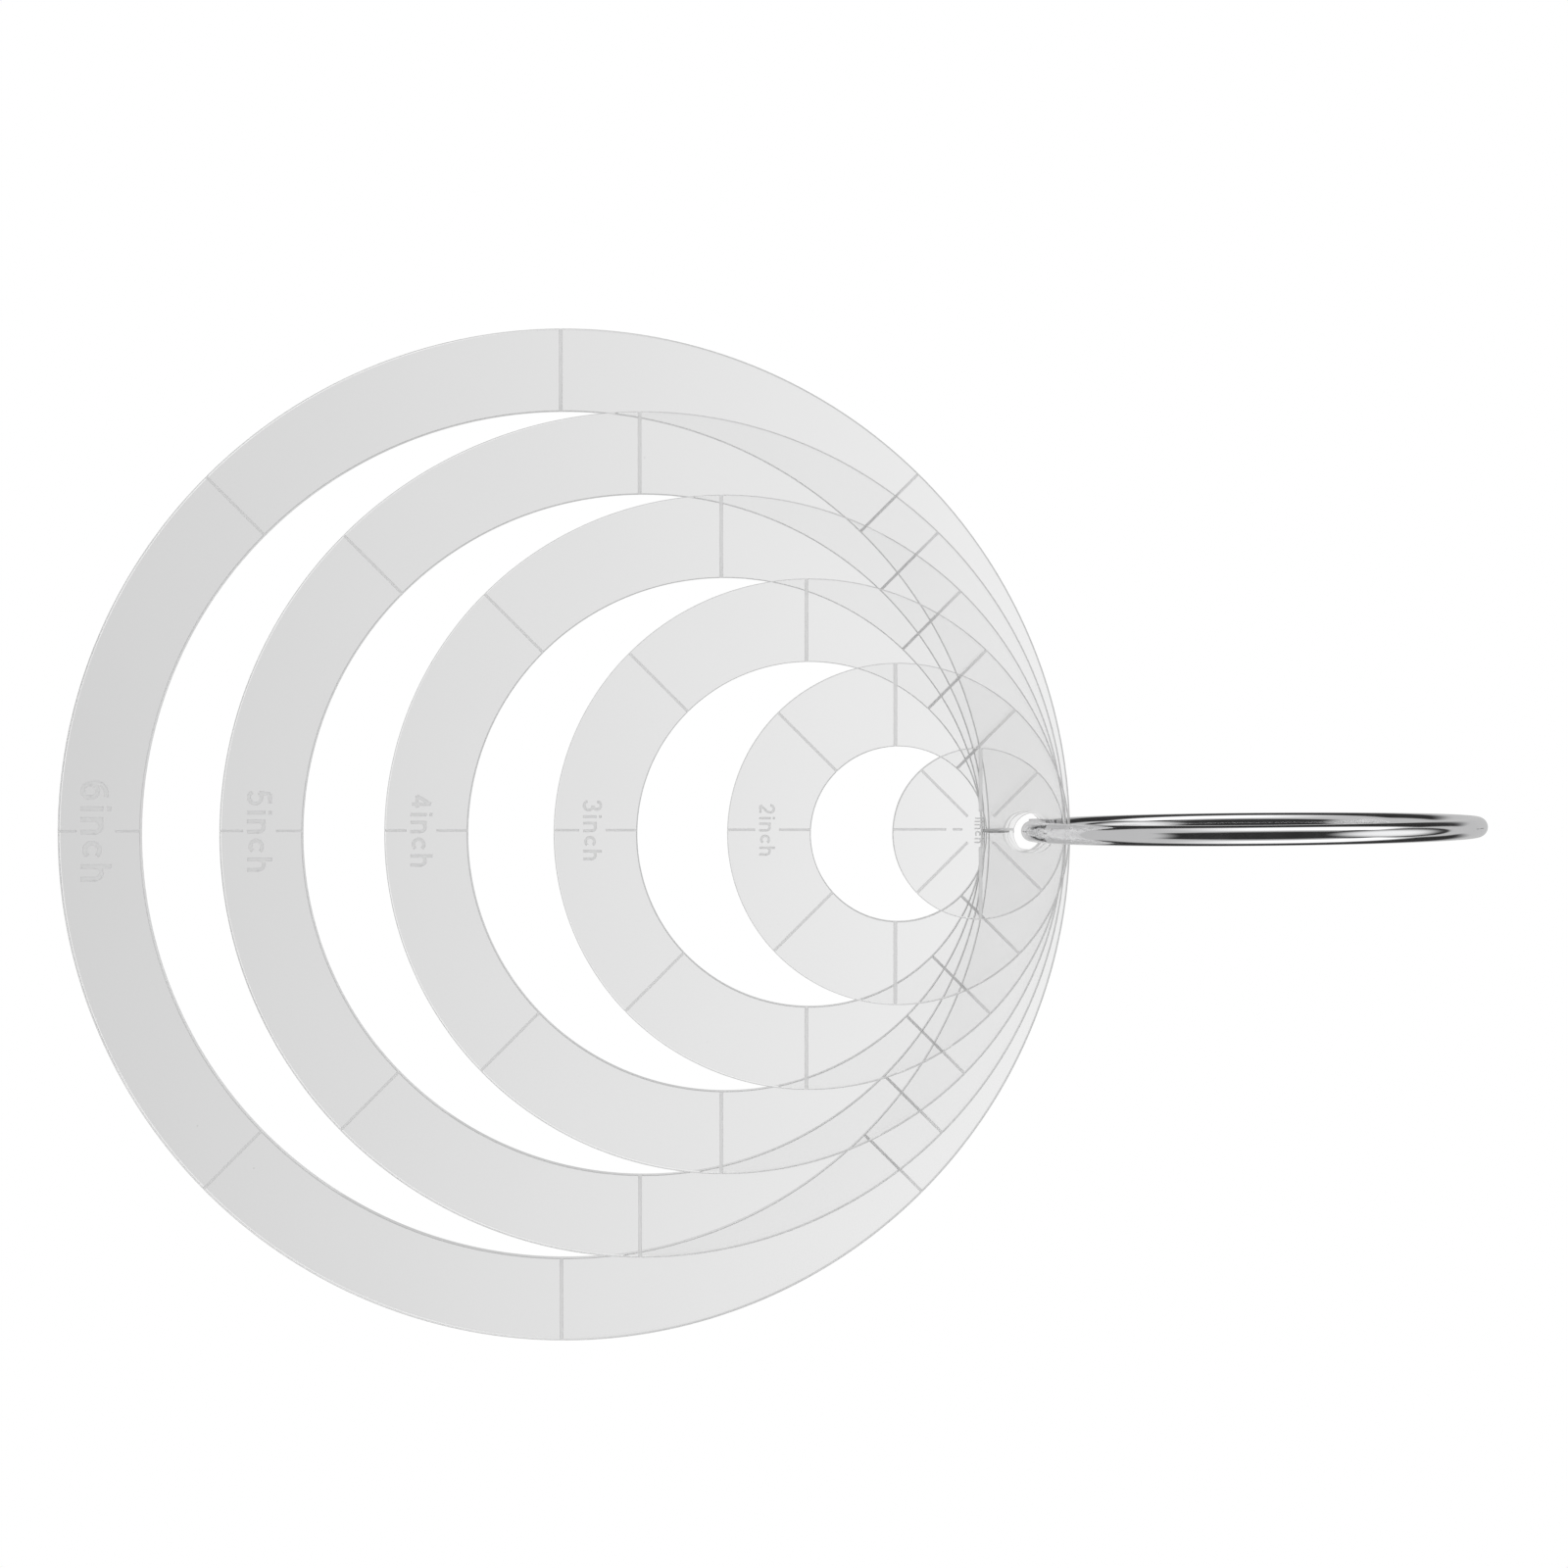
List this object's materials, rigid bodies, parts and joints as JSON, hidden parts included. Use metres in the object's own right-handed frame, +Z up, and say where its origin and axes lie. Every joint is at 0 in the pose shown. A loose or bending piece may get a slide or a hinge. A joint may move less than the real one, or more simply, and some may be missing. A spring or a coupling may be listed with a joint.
{
  "type": "circle template",
  "caption": "Set of clear sheet circle templates, rings that nest one inside the next and a small disc, hung on a hinged metal book ring.",
  "frame": {"origin": "top of the inside of the book ring, where the hook or peg that holds it bears", "axes": "+Z up, towards the hook; -Y the way the engraved faces of the templates look; the ring stands in the YZ plane and the templates hang parallel to the XZ plane"},
  "size_m": [0.1524, 0.0694, 0.2143],
  "materials": {
    "clear_sheet": "polished clear acrylic with laser-cut edges",
    "ring_plate": "bright nickel plate",
    "rivet_steel": "bright nickel plate"
  },
  "bodies": {
    "ring": {"ring_front_half": "ring_plate", "hinge_rivet": "rivet_steel"},
    "ring_gate": {"ring_rear_half": "ring_plate"},
    "template_1_inch_body": {"template_1_inch": "clear_sheet"},
    "template_2_inch_body": {"template_2_inch": "clear_sheet"},
    "template_3_inch_body": {"template_3_inch": "clear_sheet"},
    "template_4_inch_body": {"template_4_inch": "clear_sheet"},
    "template_5_inch_body": {"template_5_inch": "clear_sheet"},
    "template_6_inch_body": {"template_6_inch": "clear_sheet"}
  },
  "joints": [
    {"name": "ring_opening", "type": "hinge", "parent": "ring", "child": "ring_gate", "pos_m": [0, 0.01219, -0.06269], "axis": [-1, 0, 0], "range_deg": [0, 90]},
    {"name": "template_1_swing", "type": "hinge", "parent": "ring", "child": "template_1_inch_body", "pos_m": [0, -0.0078, -0.06506], "axis": [0, 1, 0], "continuous": true},
    {"name": "template_2_swing", "type": "hinge", "parent": "ring", "child": "template_2_inch_body", "pos_m": [0, -0.00468, -0.06584], "axis": [0, 1, 0], "continuous": true},
    {"name": "template_3_swing", "type": "hinge", "parent": "ring", "child": "template_3_inch_body", "pos_m": [0, -0.00156, -0.0663], "axis": [0, 1, 0], "range_deg": [-157, 157]},
    {"name": "template_4_swing", "type": "hinge", "parent": "ring", "child": "template_4_inch_body", "pos_m": [0, 0.00156, -0.0663], "axis": [0, 1, 0], "range_deg": [-128, 128]},
    {"name": "template_5_swing", "type": "hinge", "parent": "ring", "child": "template_5_inch_body", "pos_m": [0, 0.00468, -0.06584], "axis": [0, 1, 0], "range_deg": [-115, 115]},
    {"name": "template_6_swing", "type": "hinge", "parent": "ring", "child": "template_6_inch_body", "pos_m": [0, 0.0078, -0.06506], "axis": [0, 1, 0], "range_deg": [-108, 108]}
  ]
}
